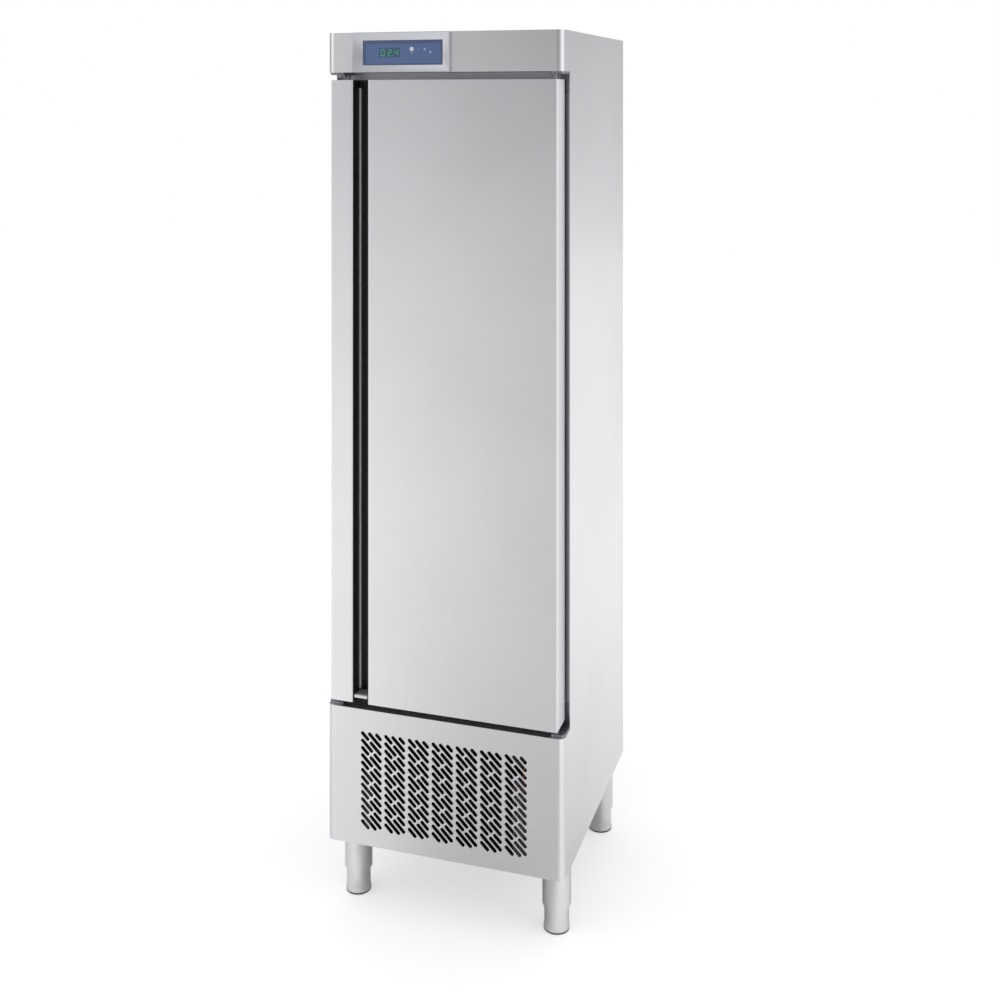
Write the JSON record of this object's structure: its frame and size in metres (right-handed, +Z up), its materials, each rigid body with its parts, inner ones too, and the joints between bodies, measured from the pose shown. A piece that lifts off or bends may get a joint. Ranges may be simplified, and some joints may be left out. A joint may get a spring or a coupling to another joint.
{
  "type": "upright refrigerator",
  "caption": "Upright stainless steel storage refrigerator with a solid hinged door, recessed full-height pull, control fascia, grille and adjustable legs.",
  "frame": {"origin": "centre of the overall footprint on the floor", "axes": "+Z up, front door faces -Y, +X to the right as seen from the front"},
  "size_m": [0.525, 0.568, 1.875],
  "materials": {
    "cabinet_steel": "satin stainless sheet",
    "door_steel": "satin stainless sheet with vertical grain",
    "inner_steel": "satin stainless sheet inside the cabinet",
    "zinc_steel": "galvanised sheet",
    "leg_steel": "turned stainless tube",
    "hinge_steel": "smooth bright steel",
    "wire_chrome": "plated wire",
    "bezel_plastic": "light grey moulding",
    "window_blue": "printed blue window",
    "case_plastic": "black moulding",
    "key_white": "white key",
    "key_blue": "blue key",
    "foam": "foamed insulation",
    "fin_aluminium": "thin fins",
    "motor_paint": "black enamel",
    "fan_plastic": "moulded fan",
    "gasket_rubber": "soft grey gasket",
    "channel_black": "black profile",
    "bright_steel": "bright steel trim",
    "bush_nylon": "nylon",
    "mount_rubber": "black rubber",
    "pipe_copper": "copper tube"
  },
  "bodies": {
    "cabinet": {"side_panel_left": "cabinet_steel", "side_panel_right": "cabinet_steel", "top_panel": "cabinet_steel", "rear_panel": "cabinet_steel", "front_frame": "cabinet_steel", "fascia": "cabinet_steel", "control_bezel": "bezel_plastic", "control_window": "window_blue", "controller_case": "case_plastic", "machine_deck": "cabinet_steel", "lower_front_panel": "cabinet_steel", "rear_grille": "zinc_steel", "base_pan": "zinc_steel", "insulation_foam": "foam", "liner_left": "inner_steel", "liner_right": "inner_steel", "liner_back": "inner_steel", "liner_top": "inner_steel", "liner_floor": "inner_steel", "leg_front_left": "leg_steel", "leg_front_right": "leg_steel", "leg_rear_left": "leg_steel", "leg_rear_right": "leg_steel", "rack_uprights": "inner_steel", "shelf_runners": "inner_steel", "evaporator_coil": "fin_aluminium", "evaporator_cover": "inner_steel", "evaporator_fan_motor": "motor_paint", "hinge_bracket_upper": "hinge_steel", "hinge_bracket_lower": "hinge_steel", "hinge_bracket_blank": "hinge_steel", "compressor": "motor_paint", "compressor_mounts": "mount_rubber", "condenser_coil": "fin_aluminium", "condenser_shroud": "zinc_steel", "condenser_fan_motor": "motor_paint", "drip_tray": "case_plastic", "refrigerant_pipes": "pipe_copper", "electrical_box": "zinc_steel", "cable_gland": "case_plastic"},
    "door": {"door_skin": "door_steel", "door_inner_panel": "inner_steel", "door_foam": "foam", "door_gasket": "gasket_rubber", "handle_channel": "channel_black", "handle_strip": "bright_steel", "channel_caps": "bright_steel", "hinge_bushes": "bush_nylon"},
    "bottom_shelf": {"shelf_bottom": "wire_chrome"},
    "middle_shelf": {"shelf_middle": "wire_chrome"},
    "top_shelf": {"shelf_top": "wire_chrome"},
    "evaporator_fan": {"evaporator_fan_blades": "fan_plastic"},
    "condenser_fan": {"condenser_fan_blades": "fan_plastic"},
    "front_left_foot": {"foot_front_left": "leg_steel"},
    "front_right_foot": {"foot_front_right": "leg_steel"},
    "rear_left_foot": {"foot_rear_left": "leg_steel"},
    "rear_right_foot": {"foot_rear_right": "leg_steel"},
    "power_key": {"key_power": "key_white"},
    "up_key": {"key_up": "key_blue"},
    "down_key": {"key_down": "key_blue"}
  },
  "joints": [
    {"name": "door_hinge", "type": "hinge", "parent": "cabinet", "child": "door", "pos_m": [0.237, -0.253, 1.112], "axis": [0, 0, 1], "range_deg": [0, 120]},
    {"name": "bottom_shelf_slide", "type": "slide", "parent": "cabinet", "child": "bottom_shelf", "axis": [0, -1, 0], "range_m": [0, 0.04]},
    {"name": "middle_shelf_slide", "type": "slide", "parent": "cabinet", "child": "middle_shelf", "axis": [0, -1, 0], "range_m": [0, 0.04]},
    {"name": "top_shelf_slide", "type": "slide", "parent": "cabinet", "child": "top_shelf", "axis": [0, -1, 0], "range_m": [0, 0.04]},
    {"name": "evaporator_fan_spin", "type": "hinge", "parent": "cabinet", "child": "evaporator_fan", "pos_m": [0, -0.042, 1.684], "axis": [0, 1, 0], "continuous": true},
    {"name": "condenser_fan_spin", "type": "hinge", "parent": "cabinet", "child": "condenser_fan", "pos_m": [-0.02, -0.194, 0.275], "axis": [0, 1, 0], "continuous": true},
    {"name": "front_left_foot_screw", "type": "slide", "parent": "cabinet", "child": "front_left_foot", "axis": [0, 0, 1], "range_m": [-0.025, 0.01]},
    {"name": "front_right_foot_screw", "type": "slide", "parent": "cabinet", "child": "front_right_foot", "axis": [0, 0, 1], "range_m": [-0.025, 0.01]},
    {"name": "rear_left_foot_screw", "type": "slide", "parent": "cabinet", "child": "rear_left_foot", "axis": [0, 0, 1], "range_m": [-0.025, 0.01]},
    {"name": "rear_right_foot_screw", "type": "slide", "parent": "cabinet", "child": "rear_right_foot", "axis": [0, 0, 1], "range_m": [-0.025, 0.01]},
    {"name": "power_key_press", "type": "slide", "parent": "cabinet", "child": "power_key", "axis": [0, 1, 0], "range_m": [0, 0.0008], "stiffness_N_per_m": 800, "springref_m": -0.002},
    {"name": "up_key_press", "type": "slide", "parent": "cabinet", "child": "up_key", "axis": [0, 1, 0], "range_m": [0, 0.0008], "stiffness_N_per_m": 800, "springref_m": -0.002},
    {"name": "down_key_press", "type": "slide", "parent": "cabinet", "child": "down_key", "axis": [0, 1, 0], "range_m": [0, 0.0008], "stiffness_N_per_m": 800, "springref_m": -0.002}
  ]
}
